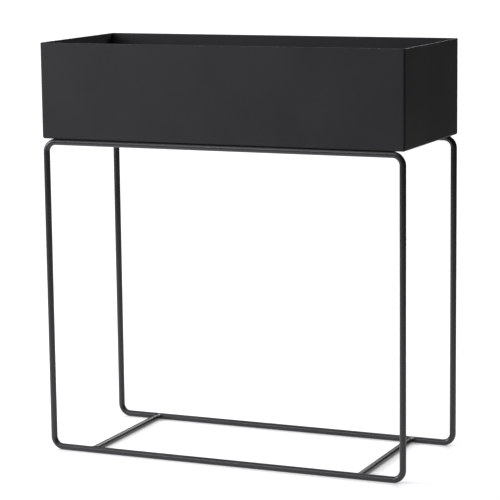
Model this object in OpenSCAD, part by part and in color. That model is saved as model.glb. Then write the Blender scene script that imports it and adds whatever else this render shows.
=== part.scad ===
// Raised planter: a folded sheet box on a welded stand of round bar.
// X runs along the box, Y from front to back, Z up. The origin is on the floor,
// below the middle of the box. All sizes are in millimetres.

/* [Planter box] */
// Outside length of the box
box_length = 600; // [400:10:1000]
// Outside depth of the box, front to back
box_depth = 250; // [180:10:400]
// Outside height of the box
box_height = 150; // [80:10:300]
// Thickness of the sheet
sheet = 1.5; // [1:0.25:3]
// Inside radius of the folded edges and of the upright corners
bend = 2; // [1:0.5:4]

/* [Stand] */
// Height of the stand, from the floor to the underside of the box
stand_height = 500; // [250:10:800]
// Diameter of the round bar
bar_d = 10; // [8:1:14]
// Radius of the loop corners, at the middle of the bar
loop_bend = 16; // [12:1:40]
// Distance from the end of the stand to the middle of a cross bar
cross_inset = 75; // [50:5:120]

/* [Welds] */
// Gap between the end of a cross bar and the rail, filled with weld
root_gap = 1; // [0.5:0.25:2]
// Leg of the weld fillet on each side of a cross bar
weld_leg = 5; // [3:0.5:7]
// Depth of the dressed weld below the surface of the bars
weld_dressing = 0.15; // [0.1:0.05:0.4]

/* [Fixings] */
// Thread diameter of the screws that hold the box down
screw_d = 5; // [4:1:6]
// Length of the screw under its head
screw_length = 12; // [12:1:16]
// Diameter of the screw head
head_d = 9.5; // [8:0.5:12]
// Height of the screw head
head_h = 2.8; // [2:0.1:4]
// Hexagon socket in the screw head, across its flats
socket_af = 3; // [2:0.5:4]
// Outside diameter of the sealing washer
washer_d = 15; // [13:1:20]
// Thickness of the sealing washer
washer_t = 1.5; // [1:0.25:2]
// Distance between the two screws on one cross bar
screw_spacing = 120; // [60:10:140]

/* [Fits] */
// Clearance round the thread in the hole through the base
hole_clearance = 0.5; // [0.2:0.1:1]
// Clearance round the thread in the hole of the cross bar
thread_clearance = 0.05; // [0.02:0.01:0.1]
// Clearance round the thread in the hole of the washer
washer_clearance = 0.1; // [0.05:0.05:0.5]

/* [Hidden] */
$fn = 64;

bar_r = bar_d / 2;
outer_bend = bend + sheet;
// The stand is flush with the faces of the box
rail_y = box_depth / 2 - bar_r;
leg_x = box_length / 2 - bar_r;
lower_z = bar_r;
upper_z = stand_height - bar_r;
cross_x = box_length / 2 - cross_inset;
cross_half = rail_y - bar_r - root_gap;
screw_y = screw_spacing / 2;
base_top = stand_height + sheet;
head_z = base_top + washer_t;
socket_depth = head_h * 0.6;
weld_half_height = bar_r * 0.7;
weld_run = bar_r * 0.3;
overcut = 1;

coat = "#35363a";
weld_coat = "#3a3b3f";
zinc = "#8d9094";
rubber = "#202122";

// A block open to the top, with all its lower edges and upright corners rounded
module rounded_tray(length, depth, height, radius) {
    half_x = length / 2 - radius;
    half_y = depth / 2 - radius;
    translate([-half_x, -half_y, 0]) cube([2 * half_x, 2 * half_y, height]);
    translate([-length / 2, -half_y, radius]) cube([length, 2 * half_y, height - radius]);
    translate([-half_x, -depth / 2, radius]) cube([2 * half_x, depth, height - radius]);
    for (sx = [-1, 1], sy = [-1, 1]) translate([sx * half_x, sy * half_y, radius]) {
        cylinder(h = height - radius, r = radius);
        sphere(r = radius);
    }
    for (sy = [-1, 1])
        translate([-half_x, sy * half_y, radius]) rotate([0, 90, 0]) cylinder(h = 2 * half_x, r = radius);
    for (sx = [-1, 1])
        translate([sx * half_x, half_y, radius]) rotate([90, 0, 0]) cylinder(h = 2 * half_y, r = radius);
}

module planter_box() {
    color(coat) translate([0, 0, stand_height]) difference() {
        rounded_tray(box_length, box_depth, box_height, outer_bend);
        translate([0, 0, sheet])
            rounded_tray(box_length - 2 * sheet, box_depth - 2 * sheet, box_height, bend);
        for (sx = [-1, 1], sy = [-1, 1])
            translate([sx * cross_x, sy * screw_y, -overcut])
                cylinder(h = sheet + 2 * overcut, d = screw_d + 2 * hole_clearance);
    }
}

// A closed loop of bar standing in the XZ plane, with four bent corners
module loop(y) {
    bend_x = leg_x - loop_bend;
    low = lower_z + loop_bend;
    high = upper_z - loop_bend;
    color(coat) translate([0, y, 0]) {
        for (z = [lower_z, upper_z])
            translate([-bend_x, 0, z]) rotate([0, 90, 0]) cylinder(h = 2 * bend_x, d = bar_d);
        for (sx = [-1, 1])
            translate([sx * leg_x, 0, low]) cylinder(h = high - low, d = bar_d);
        for (corner = [[bend_x, high, 0], [-bend_x, high, 90], [-bend_x, low, 180], [bend_x, low, 270]])
            translate([corner[0], 0, corner[1]]) rotate([90, 0, 0])
                rotate_extrude(angle = 90, start = corner[2]) translate([loop_bend, 0]) circle(d = bar_d);
    }
}

module lower_cross_bar(side) {
    color(coat) translate([side * cross_x, cross_half, lower_z])
        rotate([90, 0, 0]) cylinder(h = 2 * cross_half, d = bar_d);
}

// The upper bars have two threaded holes each, for the screws that hold the box
module upper_cross_bar(side) {
    color(coat) difference() {
        translate([side * cross_x, cross_half, upper_z])
            rotate([90, 0, 0]) cylinder(h = 2 * cross_half, d = bar_d);
        for (sy = [-1, 1])
            translate([side * cross_x, sy * screw_y, upper_z - bar_r - overcut])
                cylinder(h = bar_d + 2 * overcut, d = screw_d + 2 * thread_clearance);
    }
}

// The weld round one end of a cross bar. It fills the gap up to the rail, with a fillet on
// each side of the bar, and is dressed flush above and below. It points along +Y.
module weld(z) {
    root = rail_y - bar_r;
    reach = bar_r + weld_leg + weld_run;
    color(weld_coat) translate([0, 0, z]) difference() {
        union() {
            translate([0, rail_y, 0]) rotate([90, 0, 0])
                cylinder(h = bar_r + root_gap, r = bar_r - weld_dressing);
            intersection() {
                translate([0, root, 0]) rotate([-90, 0, 0]) rotate_extrude() polygon([
                    [0, -root_gap], [bar_r, -root_gap], [bar_r, -weld_leg],
                    [reach, weld_run], [reach, bar_r], [0, bar_r]
                ]);
                translate([-reach - overcut, root - weld_leg - overcut, -weld_half_height])
                    cube([2 * (reach + overcut), weld_leg + bar_d, 2 * weld_half_height]);
            }
        }
        translate([-reach - overcut, rail_y, 0]) rotate([0, 90, 0])
            cylinder(h = 2 * (reach + overcut), d = bar_d);
    }
}

module weld_at(side, end, z) {
    translate([side * cross_x, 0, 0]) mirror([0, end < 0 ? 1 : 0, 0]) weld(z);
}

// A button head screw. Its thread is a plain shank of the thread's outer diameter.
module screw(side, end) {
    rim = head_h * 0.2;
    crown = head_h - rim;
    dome_r = (crown * crown + head_d * head_d / 4) / (2 * crown);
    chamfer = screw_d * 0.1;
    color(zinc) translate([side * cross_x, end * screw_y, head_z]) difference() {
        union() {
            intersection() {
                cylinder(h = head_h, d = head_d);
                translate([0, 0, head_h - dome_r]) sphere(r = dome_r);
            }
            translate([0, 0, chamfer - screw_length])
                cylinder(h = screw_length - chamfer + head_h / 4, d = screw_d);
            translate([0, 0, -screw_length])
                cylinder(h = chamfer, d1 = screw_d - 2 * chamfer, d2 = screw_d);
        }
        translate([0, 0, head_h - socket_depth])
            cylinder(h = socket_depth + overcut, d = socket_af / cos(30), $fn = 6);
    }
}

module washer(side, end) {
    color(rubber) translate([side * cross_x, end * screw_y, base_top]) difference() {
        cylinder(h = washer_t, d = washer_d);
        translate([0, 0, -overcut])
            cylinder(h = washer_t + 2 * overcut, d = screw_d + 2 * washer_clearance);
    }
}

planter_box();
loop(-rail_y);  // front_loop
loop(rail_y);  // rear_loop
lower_cross_bar(-1);  // lower_left_cross_bar
lower_cross_bar(1);  // lower_right_cross_bar
upper_cross_bar(-1);  // upper_left_cross_bar
upper_cross_bar(1);  // upper_right_cross_bar
for (level = ["lower", "upper"], side = ["left", "right"], end = ["front", "rear"])
    weld_at(side == "left" ? -1 : 1, end == "front" ? -1 : 1, level == "lower" ? lower_z : upper_z);
for (side = ["left", "right"], end = ["front", "rear"]) {
    screw(side == "left" ? -1 : 1, end == "front" ? -1 : 1);
    washer(side == "left" ? -1 : 1, end == "front" ? -1 : 1);
}
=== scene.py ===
import math
import bpy
import bmesh
from mathutils import Matrix, Vector


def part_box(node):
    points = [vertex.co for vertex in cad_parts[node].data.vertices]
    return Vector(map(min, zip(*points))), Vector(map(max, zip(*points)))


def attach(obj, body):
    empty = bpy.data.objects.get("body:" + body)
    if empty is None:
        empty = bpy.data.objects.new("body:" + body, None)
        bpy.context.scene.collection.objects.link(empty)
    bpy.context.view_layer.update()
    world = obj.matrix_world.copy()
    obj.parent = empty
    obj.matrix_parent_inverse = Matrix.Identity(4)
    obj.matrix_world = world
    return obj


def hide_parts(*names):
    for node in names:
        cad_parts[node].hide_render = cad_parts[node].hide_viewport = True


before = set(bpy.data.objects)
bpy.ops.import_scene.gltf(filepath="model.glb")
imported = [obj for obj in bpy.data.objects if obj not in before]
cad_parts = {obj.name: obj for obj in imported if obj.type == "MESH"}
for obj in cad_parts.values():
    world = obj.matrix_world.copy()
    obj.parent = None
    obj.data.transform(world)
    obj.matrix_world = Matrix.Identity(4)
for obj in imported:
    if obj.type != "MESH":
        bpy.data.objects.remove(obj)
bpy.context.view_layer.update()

scene = bpy.context.scene
millimetre = 0.001
allRound = 2 * math.pi
quarterTurn = math.pi / 2


# shader helpers

class Wire:
    # a node's output that can be used in sums
    def __init__(self, finish, socket):
        self.finish = finish
        self.socket = socket

    def maths(self, operation, first, second):
        return self.finish.node("ShaderNodeMath", {"operation": operation}, {0: first, 1: second})

    def __add__(self, other):
        return self.maths("ADD", self, other)

    def __sub__(self, other):
        return self.maths("SUBTRACT", self, other)

    def __rsub__(self, other):
        return self.maths("SUBTRACT", other, self)

    def __mul__(self, other):
        return self.maths("MULTIPLY", self, other)

    __radd__ = __add__
    __rmul__ = __mul__


class Finish:
    # a material with one principled shader, built a node at a time
    def __init__(self, name):
        self.material = bpy.data.materials.new(name)
        self.material.use_nodes = True
        self.tree = self.material.node_tree
        self.shader = self.tree.nodes["Principled BSDF"]
        self.place = self.node("ShaderNodeTexCoord", output="Object")

    def node(self, kind, settings=None, inputs=None, output=0):
        made = self.tree.nodes.new(kind)
        for name, value in (settings or {}).items():
            setattr(made, name, value)
        for name, value in (inputs or {}).items():
            self.feed(made.inputs[name], value)
        return Wire(self, made.outputs[output])

    def feed(self, socket, value):
        if isinstance(value, Wire):
            self.tree.links.new(value.socket, socket)
        else:
            socket.default_value = value

    def noise(self, size, detail):
        # size is the width of one blotch, in metres
        return self.node("ShaderNodeTexNoise", {}, {
            "Vector": self.place, "Scale": 1 / size, "Detail": detail, "Roughness": 0.5})

    def spread(self, value, low, high, first=0.0, last=1.0):
        return self.node("ShaderNodeMapRange", {"clamp": True}, {
            "Value": value, "From Min": low, "From Max": high, "To Min": first, "To Max": last})

    def blend(self, amount, first, second):
        return self.node("ShaderNodeMix", {"data_type": "RGBA"}, {0: amount, 6: first, 7: second}, 2)

    def bump(self, height, depth, under=None):
        inputs = {"Height": height, "Distance": depth, "Strength": 1.0}
        if under:
            inputs["Normal"] = under
        return self.node("ShaderNodeBump", {}, inputs)

    def set(self, **sockets):
        for name, value in sockets.items():
            self.feed(self.shader.inputs[name.replace("_", " ")], value)


# mesh helpers

meshSettings = {
    "mergeWithin": 1e-6,
    "sharpAngle": 35,                # degrees; a sharper edge than this keeps its crease
    "drillSides": 48,
}


def ringEdges(verts):
    kept = set(verts)
    found = [edge for vert in verts for edge in vert.link_edges if edge.other_vert(vert) in kept]
    return list(dict.fromkeys(found))


def addRing(bm, sides, shape):
    # a closed ring of points, where shape turns an angle into a place
    ring = bmesh.ops.create_circle(bm, segments=sides, radius=1.0)["verts"]
    for vert in ring:
        vert.co = shape(math.atan2(vert.co.y, vert.co.x))
    return ring


def joinRings(bm, rings, closed=False, capped=True):
    pairs = list(zip(rings, rings[1:]))
    if closed:
        pairs.append((rings[-1], rings[0]))
    for first, second in pairs:
        bmesh.ops.bridge_loops(bm, edges=ringEdges(first) + ringEdges(second))
    if capped:
        for ring in (rings[0], rings[-1]):
            bmesh.ops.contextual_create(bm, geom=ringEdges(ring))


def turnedRing(bm, sides, radius, height):
    # a level ring round the Z axis
    return addRing(bm, sides, lambda a: Vector((radius * math.cos(a), radius * math.sin(a), height)))


def addPiece(name, bm, finish, nodes=(), sharp=meshSettings["sharpAngle"]):
    bmesh.ops.remove_doubles(bm, verts=bm.verts, dist=meshSettings["mergeWithin"])
    bmesh.ops.recalc_face_normals(bm, faces=bm.faces)
    mesh = bpy.data.meshes.new(name)
    bm.to_mesh(mesh)
    bm.free()
    mesh.shade_smooth()
    mesh.set_sharp_from_angle(angle=math.radians(sharp))
    mesh.materials.append(finish.material)
    piece = bpy.data.objects.new(name, mesh)
    scene.collection.objects.link(piece)
    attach(piece, "root")
    if nodes:
        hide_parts(*nodes)
    return piece


def evenNormals(piece):
    # flat faces keep a flat shade next to their rounded edges
    weighted = piece.modifiers.new("evenNormals", "WEIGHTED_NORMAL")
    weighted.weight = 100      # the widest faces count for most
    weighted.keep_sharp = True


def drill(piece, holes):
    # cuts upright holes, given as (x, y, low, high, radius)
    bm = bmesh.new()
    for x, y, low, high, radius in holes:
        bmesh.ops.create_cone(
            bm, cap_ends=True, segments=meshSettings["drillSides"], radius1=radius, radius2=radius,
            depth=high - low, matrix=Matrix.Translation((x, y, (low + high) / 2)))
    mesh = bpy.data.meshes.new("drill")
    bm.to_mesh(mesh)
    bm.free()
    cutter = bpy.data.objects.new("drill", mesh)
    scene.collection.objects.link(cutter)
    cut = piece.modifiers.new("drill", "BOOLEAN")
    cut.object = cutter
    cut.operation = "DIFFERENCE"
    cut.solver = "EXACT"
    bpy.context.view_layer.update()
    drilled = piece.evaluated_get(bpy.context.evaluated_depsgraph_get())
    result = bpy.data.meshes.new_from_object(drilled)
    piece.modifiers.remove(cut)
    piece.data = result
    bpy.data.objects.remove(cutter)


# finishes

coatSettings = {
    # matt black on the box, and a little more sheen on the stand
    "box": {
        "dark": (0.0084, 0.0085, 0.0088, 1), "light": (0.0122, 0.0123, 0.0126, 1),
        "sheen": 0.29, "rough": 0.56},
    "stand": {
        "dark": (0.0122, 0.0123, 0.0125, 1), "light": (0.0168, 0.0169, 0.0171, 1),
        "sheen": 0.5, "rough": 0.32},
    # the lighter rubbed coat colour; on the box's rim it is also a painted highlight along the top edge
    "wornAndLitColour": (0.05, 0.05, 0.051, 1),
    "cloud": 90 * millimetre,      # width of the broad shade changes
    "cloudSpread": (0.3, 0.7),
    "cloudRough": 0.10,            # how far they change the roughness
    "peel": 2.2 * millimetre,      # width of the orange peel
    "peelDepth": 0.03 * millimetre,
    "weldPeel": 1.6,               # times deeper on the welds
    "grain": 0.45 * millimetre,    # width of the fine tooth of the powder
    "grainDepth": 0.011 * millimetre,
    "grainRough": 0.12,
    "wear": 7 * millimetre,        # width of the lighter patches: rubbed wear, and on the box's rim also a painted highlight
    "wornAndLitSpread": (0.52, 0.7),
    "wornAndLitMix": 0.6,
    "wearPolish": 0.14,
    "rimWearAndHighlight": 3 * millimetre,     # how far below the rim the box is painted lighter: rubbed by hands, and also a painted highlight along the top edge
    "footWear": 1.2 * millimetre,  # how far above the ground the floor rubs the stand
}


def powderCoat(name, kind, wornAndLitAt=None, peelGain=1.0):
    # black powder coat; the heights given (lighter, plain) bound the band where handling shows as lighter
    # rubbed coat, which on the box's rim also stands for a painted highlight
    s = coatSettings
    own = s[kind]
    coat = Finish(name)
    cloud = coat.noise(s["cloud"], 3.0)
    peel = coat.noise(s["peel"], 2.0)
    grain = coat.noise(s["grain"], 1.0)
    colour = coat.blend(coat.spread(cloud, *s["cloudSpread"]), own["dark"], own["light"])
    roughness = own["rough"] + (cloud - 0.5) * s["cloudRough"] + (grain - 0.5) * s["grainRough"]
    if wornAndLitAt:
        height = coat.node("ShaderNodeSeparateXYZ", {}, {0: coat.place}, "Z")
        patches = coat.spread(coat.noise(s["wear"], 4.0), *s["wornAndLitSpread"])
        # the band painted lighter: rubbed wear near the feet, and on the box's rim rubbed wear with a
        # painted highlight
        wornAndLit = patches * coat.spread(height, wornAndLitAt[1], wornAndLitAt[0])
        colour = coat.blend(wornAndLit * s["wornAndLitMix"], colour, s["wornAndLitColour"])
        roughness = roughness - wornAndLit * s["wearPolish"]
    broad = coat.bump(peel, s["peelDepth"] * peelGain)
    coat.set(Base_Color=colour, Roughness=roughness, Specular_IOR_Level=own["sheen"])
    coat.set(Normal=coat.bump(grain, s["grainDepth"], broad))
    return coat


zincSettings = {
    "dark": (0.46, 0.47, 0.50, 1),
    "light": (0.66, 0.66, 0.67, 1),
    "rough": 0.26,
    "cloud": 3 * millimetre,
    "cloudRough": 0.14,
    "scratch": 0.25 * millimetre,
    "scratchRough": 0.06,
    "scratchDepth": 0.004 * millimetre,
}


def zincPlate():
    s = zincSettings
    zinc = Finish("zincPlate")
    cloud = zinc.noise(s["cloud"], 3.0)
    scratch = zinc.noise(s["scratch"], 3.0)
    zinc.set(
        Base_Color=zinc.blend(cloud, s["dark"], s["light"]),
        Metallic=1.0,
        Roughness=s["rough"] + cloud * s["cloudRough"] + scratch * s["scratchRough"],
        Normal=zinc.bump(scratch, s["scratchDepth"]))
    return zinc


rubberSettings = {
    "dark": (0.012, 0.012, 0.012, 1),
    "light": (0.026, 0.026, 0.025, 1),
    "rough": 0.72,
    "cloud": 4 * millimetre,
    "grain": 0.3 * millimetre,
    "grainRough": 0.2,
    "grainDepth": 0.012 * millimetre,
}


def sealRubber():
    s = rubberSettings
    rubber = Finish("sealRubber")
    cloud = rubber.noise(s["cloud"], 3.0)
    grain = rubber.noise(s["grain"], 2.0)
    rubber.set(
        Base_Color=rubber.blend(cloud, s["dark"], s["light"]),
        Roughness=s["rough"] + (grain - 0.5) * s["grainRough"],
        Normal=rubber.bump(grain, s["grainDepth"]))
    return rubber


boxLow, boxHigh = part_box("planter_box")
# the box's rim is painted lighter, partly rubbed wear and partly a painted highlight along its top edge
boxCoat = powderCoat("boxCoat", "box", wornAndLitAt=(boxHigh.z, boxHigh.z - coatSettings["rimWearAndHighlight"]))
standCoat = powderCoat("standCoat", "stand", wornAndLitAt=(0.0, coatSettings["footWear"]))
weldCoat = powderCoat("weldCoat", "stand", peelGain=coatSettings["weldPeel"])
zinc = zincPlate()
rubber = sealRubber()
print("finishes made")


# the folded box

boxSettings = {
    "innerBend": 2 * millimetre,
    "bendSteps": 8,
    "rimRound": 0.65 * millimetre,
    "rimSteps": 4,
    "screwHole": 3 * millimetre,     # the radius of each hole in the base
    "drillTo": 3 * millimetre,       # above the underside of the base
}
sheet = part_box("washer_left_front")[0].z - boxLow.z      # how thick it is, from the washers that lie on it


def roundOff(bm, edges, radius, steps):
    bmesh.ops.bevel(
        bm, geom=edges, offset=radius, offset_type="OFFSET", segments=steps, profile=0.5,
        affect="EDGES", material=-1, clamp_overlap=False)


def facesUp(face):
    return face.normal.z > 0.9


def addBox():
    s = boxSettings
    bm = bmesh.new()
    middle = (boxLow + boxHigh) / 2
    size = boxHigh - boxLow
    bmesh.ops.create_cube(bm, size=1.0, matrix=Matrix.Translation(middle) @ Matrix.Diagonal((*size, 1)))
    lid = [face for face in bm.faces if facesUp(face)]
    bmesh.ops.delete(bm, geom=lid, context="FACES_ONLY")
    folds = [edge for edge in bm.edges if not edge.is_boundary]
    roundOff(bm, folds, s["innerBend"] + sheet, s["bendSteps"])
    bmesh.ops.solidify(bm, geom=bm.faces[:], thickness=sheet)
    level = [face for face in bm.faces if facesUp(face) and face.calc_center_median().z > middle.z]
    rim = [
        edge for face in level for edge in face.edges
        if any(other not in level for other in edge.link_faces)]
    roundOff(bm, rim, s["rimRound"], s["rimSteps"])
    return addPiece("planterBox", bm, boxCoat, ["planter_box"])


box = addBox()
print("box made")


# the seams inside the upright corners, where the folded walls are welded

seamSettings = {
    "radius": 1.2 * millimetre,
    "reach": 1 * millimetre,         # how far the middle of the bead stands off each wall
    "pitch": 1.3 * millimetre,
    "ripple": 0.07,                  # how far it swells and thins, as a share of the radius
    "clear": 2.5 * millimetre,       # below the rim
    "sides": 14,
    "stepsInPitch": 4,
    "mergeWithin": 0.02 * millimetre,    # closes what the long run of copies drifts by
}


def addCornerSeams(innerCorner, low, high):
    s = seamSettings
    middle = innerCorner - Vector((s["reach"], s["reach"], 0))
    count = round((high - low) / s["pitch"])
    pitch = (high - low) / count
    bm = bmesh.new()

    def beadRing(height, size):
        return addRing(bm, s["sides"], lambda a: Vector((
            middle.x + size * math.cos(a), middle.y + size * math.sin(a), height)))

    rings = []
    for step in range(s["stepsInPitch"] + 1):
        swell = 1 + s["ripple"] * math.sin(allRound * step / s["stepsInPitch"])
        rings.append(beadRing(low + pitch * step / s["stepsInPitch"], s["radius"] * swell))
    joinRings(bm, rings, capped=False)
    bmesh.ops.spin(
        bm, geom=bm.faces[:], cent=(0, 0, 0), axis=(0, 0, 1), dvec=(0, 0, pitch), angle=0,
        steps=count - 1, use_duplicate=True)
    for height, out in ((low, -1), (high, 1)):
        ends = [beadRing(height, s["radius"]), beadRing(height + out * s["radius"] / 2, s["radius"] / 2)]
        joinRings(bm, ends, capped=False)
        bmesh.ops.contextual_create(bm, geom=ringEdges(ends[1]))
    bmesh.ops.remove_doubles(bm, verts=bm.verts, dist=s["mergeWithin"])
    for mirror in ((-1, 1, 1), (1, -1, 1)):
        copied = bmesh.ops.duplicate(bm, geom=bm.verts[:] + bm.edges[:] + bm.faces[:])["geom"]
        verts = [part for part in copied if isinstance(part, bmesh.types.BMVert)]
        bmesh.ops.scale(bm, verts=verts, vec=mirror)
    return addPiece("cornerSeams", bm, weldCoat)


addCornerSeams(
    boxHigh - Vector((sheet, sheet, 0)), boxLow.z + sheet, boxHigh.z - seamSettings["clear"])
print("corner seams made")


# the bent loops of the stand

loopSettings = {
    "sides": 40,
    "bendSteps": 14,
    "straightSteps": 12,
    "bend": 16 * millimetre,         # at the middle of the bar
    "seamHalf": 3 * millimetre,      # half the width of the closing weld
    "seamDepth": 0.08 * millimetre,  # how far it is dressed below the bar
}


def runOn(bm, edges, steps, move):
    # draws a ring of edges out in a straight line
    for step in range(steps):
        made = bmesh.ops.extrude_edge_only(bm, edges=edges)["geom"]
        verts = [part for part in made if isinstance(part, bmesh.types.BMVert)]
        bmesh.ops.translate(bm, verts=verts, vec=move / steps)
        edges = ringEdges(verts)
    return edges


def ringVerts(edges):
    return list(dict.fromkeys(vert for edge in edges for vert in edge.verts))


def bendRound(bm, edges, centre, axis):
    # turns a ring of edges through a quarter circle
    verts = ringVerts(edges)
    made = bmesh.ops.spin(
        bm, geom=verts + edges, cent=centre, axis=axis, angle=quarterTurn,
        steps=loopSettings["bendSteps"], use_merge=False)["geom_last"]
    return [part for part in made if isinstance(part, bmesh.types.BMEdge)]


def addLoop(name, node):
    s = loopSettings
    low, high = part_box(node)
    radius = (high.y - low.y) / 2
    middleY = (high.y + low.y) / 2
    reach = high.x - radius - s["bend"]
    bottom = low.z + radius + s["bend"]
    top = high.z - radius - s["bend"]
    seamZ = high.z - radius
    bm = bmesh.new()
    thin = radius - s["seamDepth"]
    ring = addRing(bm, s["sides"], lambda a: Vector((
        0, middleY + thin * math.cos(a), seamZ + thin * math.sin(a))))
    across = Vector((1, 0, 0))
    edges = runOn(bm, ringEdges(ring), 1, across * s["seamHalf"])
    grow = radius / thin
    hub = Matrix.Translation((0, -middleY, -seamZ))
    bmesh.ops.scale(bm, verts=ringVerts(edges), vec=(1, grow, grow), space=hub)
    edges = runOn(bm, edges, s["straightSteps"] // 2, across * (reach - s["seamHalf"]))
    corners = (
        (Vector((reach, middleY, top)), Vector((0, 0, bottom - top))),
        (Vector((reach, middleY, bottom)), Vector((-2 * reach, 0, 0))),
        (Vector((-reach, middleY, bottom)), Vector((0, 0, top - bottom))),
        (Vector((-reach, middleY, top)), Vector((reach - s["seamHalf"], 0, 0))))
    for centre, move in corners:
        edges = bendRound(bm, edges, centre, (0, 1, 0))
        edges = runOn(bm, edges, s["straightSteps"], move)
    joinRings(bm, [ringVerts(edges), ring], capped=False)
    return addPiece(name, bm, standCoat, [node])


addLoop("frontLoop", "front_loop")
addLoop("rearLoop", "rear_loop")
print("loops made")


# the cross bars

barSettings = {
    "sides": 40,
    "steps": 8,
    "chamfer": 0.6 * millimetre,
    "threadHole": 2.55 * millimetre,     # the radius of each hole for a screw
    "drillPast": 1 * millimetre,
}
sidesOfStand = ("left", "right")
endsOfStand = ("front", "rear")


def pieceName(node):
    words = node.split("_")
    return words[0] + "".join(word.title() for word in words[1:])


def addBar(node):
    s = barSettings
    low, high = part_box(node)
    middle = (low + high) / 2
    radius = (high.x - low.x) / 2

    def barRing(along, size):
        return addRing(bm, s["sides"], lambda a: Vector((
            middle.x + size * math.cos(a), along, middle.z + size * math.sin(a))))

    bm = bmesh.new()
    first, last = low.y + s["chamfer"], high.y - s["chamfer"]
    rings = [barRing(low.y, radius - s["chamfer"])]
    for step in range(s["steps"] + 1):
        rings.append(barRing(first + (last - first) * step / s["steps"], radius))
    rings.append(barRing(high.y, radius - s["chamfer"]))
    joinRings(bm, rings)
    return addPiece(pieceName(node), bm, standCoat, [node])


def screwHoles(side, low, high, radius):
    # one hole for each screw on this side, as drill takes them
    holes = []
    for end in endsOfStand:
        first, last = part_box("screw_" + side + "_" + end)
        place = (first + last) / 2
        holes.append((place.x, place.y, low, high, radius))
    return holes


past = barSettings["drillPast"]
boxHoles = []
for side in sidesOfStand:
    addBar("lower_" + side + "_cross_bar")
    node = "upper_" + side + "_cross_bar"
    low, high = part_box(node)
    drill(addBar(node), screwHoles(side, low.z - past, high.z + past, barSettings["threadHole"]))
    boxHoles += screwHoles(
        side, boxLow.z - past, boxLow.z + boxSettings["drillTo"], boxSettings["screwHole"])
drill(box, boxHoles)
evenNormals(box)
print("cross bars made")


# the welds between cross bars and rails

weldSettings = {
    "sides": 180,
    "steps": 7,
    "leg": 5 * millimetre,           # beside the bar, from the rail's nearest line
    "dressedLeg": 1.5 * millimetre,  # above and below it, where the weld is ground flush
    "gap": 1 * millimetre,           # between the bar's end and the rail
    "core": 0.5,                     # the ring that closes each hidden end, as a share of the bar
    "dressing": 0.985,               # how near its highest line comes to the top of the rail
    "fullness": 0.45,                # 0 is a hollow fillet, 1 a flat one
    "ripples": 44,                   # round the bar
    "ripple": 0.14 * millimetre,
    "sunk": 0.03 * millimetre,       # how deep its edges run into the bar and the rail
    "sharpAngle": 60,
}


def railDepth(level, radius):
    # how far the rail's surface is behind its nearest line
    return radius - math.sqrt(radius * radius - level * level)


def filletPoint(angle, part, radius):
    # a point of the fillet, from the bar (part 0) to the rail (part 1), with the bar's axis
    # along +Y and the rail's nearest line at Y 0
    s = weldSettings
    sideways, upwards = math.cos(angle), math.sin(angle)
    openness = 1 - upwards ** 6
    leg = s["dressedLeg"] + (s["leg"] - s["dressedLeg"]) * openness
    level = radius * upwards * s["dressing"]
    onBar = Vector(((radius - s["sunk"]) * sideways, -leg, (radius - s["sunk"]) * upwards))
    corner = Vector((radius * sideways, railDepth(level, radius), level))
    foot = radius * sideways + math.copysign(leg * openness, sideways)
    onRail = Vector((foot, railDepth(level, radius) + s["sunk"], level))
    corner = corner.lerp((onBar + onRail) / 2, s["fullness"] * openness)
    point = onBar * (1 - part) ** 2 + corner * 2 * part * (1 - part) + onRail * part * part
    outwards = Vector((sideways, -1, 0)).normalized()
    swell = 4 * part * (1 - part) * openness * s["ripple"]
    return point + outwards * swell * math.cos(angle * s["ripples"])


def addWeld(level, side, end):
    s = weldSettings
    node = "_".join(("weld", level, side, end))
    low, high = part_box(level + "_" + side + "_cross_bar")
    radius = (high.x - low.x) / 2
    facing = 1 if end == "rear" else -1
    root = high.y + s["gap"]
    inner = s["core"] * radius
    sleeve = radius - s["sunk"]
    bm = bmesh.new()

    def endRing(size, along):
        return addRing(bm, s["sides"], lambda a: Vector((
            size * math.cos(a), along(size * math.sin(a)), size * math.sin(a))))

    rings = [endRing(size, lambda level: -s["gap"]) for size in (inner, sleeve)]
    for step in range(s["steps"] + 1):
        rings.append(addRing(bm, s["sides"], lambda a: filletPoint(a, step / s["steps"], radius)))
    rings.append(endRing(inner, lambda level: railDepth(level, radius) + s["sunk"]))
    joinRings(bm, rings)
    middle = (low + high) / 2
    place = Matrix.Translation((middle.x, facing * root, middle.z)) @ Matrix.Diagonal((1, facing, 1, 1))
    bmesh.ops.transform(bm, matrix=place, verts=bm.verts)
    return addPiece(pieceName(node), bm, weldCoat, [node], s["sharpAngle"])


for level in ("lower", "upper"):
    for side in sidesOfStand:
        for end in endsOfStand:
            addWeld(level, side, end)
print("welds made")


# the screws that hold the box down, and their washers

screwSettings = {
    "sides": 48,
    "domeSteps": 8,
    "headHeight": 2.8 * millimetre,  # to the top of the dome, before the socket cuts it off
    "rim": 0.56 * millimetre,        # how high the head's upright edge is
    "rimRound": 0.18 * millimetre,
    "socket": 3 * millimetre,        # across the flats
    "socketLead": 0.25 * millimetre,
    "socketDepth": 1.68 * millimetre,
    "threadRadius": 2.45 * millimetre,
    "coreRadius": 2.02 * millimetre,
    "pitch": 0.8 * millimetre,
    "ridge": (0.0, 0.375, 0.5, 0.875),   # root, crest, crest and root, as shares of the pitch
    "rootSunk": 0.05 * millimetre,
    "threadSteps": 20,               # in each turn
    "tip": 0.5 * millimetre,
    "collar": 0.2 * millimetre,      # the plain neck under the head
    "threadEnd": 0.6 * millimetre,   # how far under the head the thread stops
}


def hexagonRing(bm, sides, flats, height):
    def shape(angle):
        radius = flats / 2 / math.cos(angle % (allRound / 6) - allRound / 12)
        return Vector((radius * math.cos(angle), radius * math.sin(angle), height))
    return addRing(bm, sides, shape)


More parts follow.
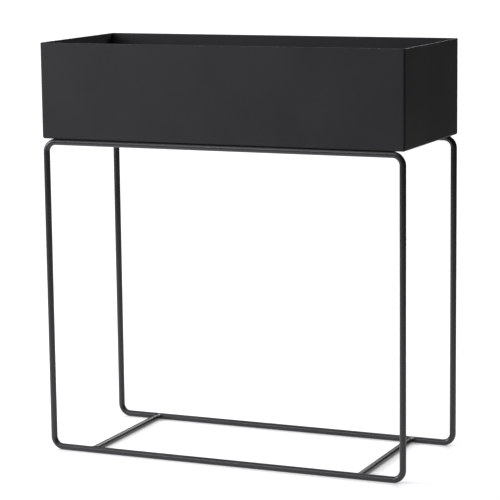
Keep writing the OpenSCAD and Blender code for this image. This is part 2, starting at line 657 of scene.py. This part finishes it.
def addThread(bm, low, high):
    # a helical ridge, drawn out from one small outline whose root is inside the core
    s = screwSettings
    inner = s["coreRadius"] - s["rootSunk"]
    outer = s["threadRadius"]
    turns = (high - low) / s["pitch"] - 1
    outline = zip((inner, outer, outer, inner), s["ridge"])
    verts = [bm.verts.new((radius, 0, low + rise * s["pitch"])) for radius, rise in outline]
    start = bm.faces.new(verts)
    steps = round(turns * s["threadSteps"])
    bmesh.ops.spin(
        bm, geom=[start], cent=(0, 0, 0), axis=(0, 0, 1), dvec=(0, 0, s["pitch"] / s["threadSteps"]),
        angle=allRound * steps / s["threadSteps"], steps=steps, use_merge=False)


def addScrew(side, end):
    s = screwSettings
    node = "screw_" + side + "_" + end
    low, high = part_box(node)
    middle = (low + high) / 2
    headRadius = (high.x - low.x) / 2
    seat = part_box("washer_" + side + "_" + end)[1].z
    top = seat + s["headHeight"]
    crown = s["headHeight"] - s["rim"]
    domeRadius = (crown * crown + headRadius * headRadius) / (2 * crown)
    bm = bmesh.new()
    sides = s["sides"]
    core = s["coreRadius"]
    tip = s["tip"]
    threadTop = seat - s["threadEnd"]
    profile = (
        (core - tip, low.z), (core, low.z + tip), (core, threadTop),
        (s["threadRadius"], seat - s["collar"]), (s["threadRadius"], seat),
        (headRadius - s["rimRound"], seat), (headRadius, seat + s["rimRound"]))
    rings = [turnedRing(bm, sides, radius, height) for radius, height in profile]
    socketRadius = s["socket"] / math.sqrt(3) + s["socketLead"]
    for step in range(s["domeSteps"] + 1):
        radius = headRadius + (socketRadius - headRadius) * step / s["domeSteps"]
        height = top - domeRadius + math.sqrt(domeRadius * domeRadius - radius * radius)
        rings.append(turnedRing(bm, sides, radius, height))
    lead = rings[-1][0].co.z - s["socketLead"]
    rings.append(hexagonRing(bm, sides, s["socket"], lead))
    rings.append(hexagonRing(bm, sides, s["socket"], top - s["socketDepth"]))
    rings.append(turnedRing(bm, sides, s["socket"] / 4, top - s["socketDepth"] - s["socketLead"]))
    joinRings(bm, rings)
    addThread(bm, low.z + tip / 2, threadTop)
    bmesh.ops.translate(bm, verts=bm.verts, vec=(middle.x, middle.y, 0))
    return addPiece(pieceName(node), bm, zinc, [node])


washerSettings = {
    "sides": 64,
    "edgeSteps": 6,
    "hole": 2.6 * millimetre,        # its radius
    "bulge": 0.3 * millimetre,       # how far the outer edge is rounded
}


def addWasher(side, end):
    s = washerSettings
    node = "washer_" + side + "_" + end
    low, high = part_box(node)
    middle = (low + high) / 2
    outer = (high.x - low.x) / 2
    bm = bmesh.new()
    rings = [turnedRing(bm, s["sides"], s["hole"], height) for height in (high.z, low.z)]
    for step in range(s["edgeSteps"] + 1):
        turn = math.pi * step / s["edgeSteps"]
        radius = outer - s["bulge"] * (1 - math.sin(turn))
        height = middle.z - (high.z - low.z) / 2 * math.cos(turn)
        rings.append(turnedRing(bm, s["sides"], radius, height))
    joinRings(bm, rings, closed=True, capped=False)
    bmesh.ops.translate(bm, verts=bm.verts, vec=(middle.x, middle.y, 0))
    return addPiece(pieceName(node), bm, rubber, [node])


for side in sidesOfStand:
    for end in endsOfStand:
        addScrew(side, end)
        addWasher(side, end)
print("screws and washers made")


# the studio

studioSettings = {
    "floorRadius": 4.0,
    "floorSides": 96,
    "floorFade": (1.0, 2.6),         # metres from the middle, where the floor gives way to the room
    "floorColour": (0.8, 0.8, 0.8, 1),
    "floorRough": 0.9,
    "floorGlow": 0.3,                # lifts the shadows, like a table lit from below
    "skyColour": (1.0, 1.0, 1.0, 1),
    "skyShown": 1.2,
    "aim": (0, 0, 0.4),
    # where each soft box stands, how wide it is, how strong in watts, and its colour
    "lamps": {
        "overhead": ((-0.2, -0.2, 3.2), (3.6, 3.2), 38, (1, 1, 1)),
        "side": ((-2.4, -1.4, 1.3), (1.4, 1.4), 62, (0.97, 0.97, 1.06)),
        "frontLeft": ((-1.3, -2.9, 1.5), (0.8, 0.5), 16, (0.97, 0.97, 1.06)),
        "frontTop": ((-0.6, -3.0, 3.0), (2.4, 1.4), 34, (0.98, 0.98, 1.04)),
        "back": ((0.4, 2.6, 2.2), (3.0, 1.2), 70, (1, 1, 1)),
        "backLeft": ((-2.5, 0.8, 2.2), (1.6, 1.6), 35, (1, 1, 1)),
    },
}


def addLamps():
    for name, (place, size, power, colour) in studioSettings["lamps"].items():
        data = bpy.data.lights.new(name, "AREA")
        data.shape = "RECTANGLE"
        data.size, data.size_y = size
        data.energy = power
        data.color = colour
        lamp = bpy.data.objects.new(name, data)
        lamp.location = place
        aim = Vector(studioSettings["aim"]) - lamp.location
        lamp.rotation_euler = aim.to_track_quat("-Z", "Y").to_euler()
        scene.collection.objects.link(lamp)


def addFloor():
    s = studioSettings
    bm = bmesh.new()
    bmesh.ops.create_circle(bm, cap_ends=True, segments=s["floorSides"], radius=s["floorRadius"])
    mesh = bpy.data.meshes.new("floor")
    bm.to_mesh(mesh)
    bm.free()
    pale = Finish("paleFloor")
    pale.set(Base_Color=s["floorColour"], Roughness=s["floorRough"])
    pale.set(Emission_Color=s["skyColour"], Emission_Strength=s["floorGlow"])
    distance = pale.node("ShaderNodeVectorMath", {"operation": "LENGTH"}, {0: pale.place}, "Value")
    fromBelow = pale.node("ShaderNodeNewGeometry", output="Backfacing")
    # it fades outwards, and is seen through from below
    pale.set(Alpha=pale.spread(distance, *s["floorFade"], 1.0, 0.0) * (1 - fromBelow))
    mesh.materials.append(pale.material)
    floor = bpy.data.objects.new("floor", mesh)
    scene.collection.objects.link(floor)


def addRoom():
    # the camera sees a plain white room, which sheds no light of its own
    sky = bpy.data.worlds.new("room")
    scene.world = sky
    sky.use_nodes = True
    tree = sky.node_tree
    shown = tree.nodes["Background"]
    shown.inputs["Color"].default_value = studioSettings["skyColour"]
    path = tree.nodes.new("ShaderNodeLightPath")
    strength = tree.nodes.new("ShaderNodeMath")
    strength.operation = "MULTIPLY"
    strength.inputs[1].default_value = studioSettings["skyShown"]
    tree.links.new(path.outputs["Is Camera Ray"], strength.inputs[0])
    tree.links.new(strength.outputs[0], shown.inputs["Strength"])


addFloor()
addRoom()
addLamps()
scene.view_settings.view_transform = "Standard"
print("studio made")


# what the camera sees

cameraSettings = {
    "place": (1.3219, -3.0526, 0.8645),
    "turn": 23.444,      # degrees to the left of straight on
    "tilt": -9.293,
    "roll": -0.673,
    "lens": 153.92,
    "sensor": 36,
    "reach": 60,         # metres
}


def addCamera():
    s = cameraSettings
    turn, tilt, roll = (math.radians(s[name]) for name in ("turn", "tilt", "roll"))
    camera = bpy.data.objects.new("camera", bpy.data.cameras.new("camera"))
    camera.data.lens = s["lens"]
    camera.data.sensor_width = s["sensor"]
    camera.data.clip_end = s["reach"]
    camera.matrix_world = (
        Matrix.Translation(s["place"]) @ Matrix.Rotation(turn, 4, "Z")
        @ Matrix.Rotation(quarterTurn + tilt, 4, "X") @ Matrix.Rotation(roll, 4, "Z"))
    scene.collection.objects.link(camera)
    scene.camera = camera


addCamera()
print("camera placed")
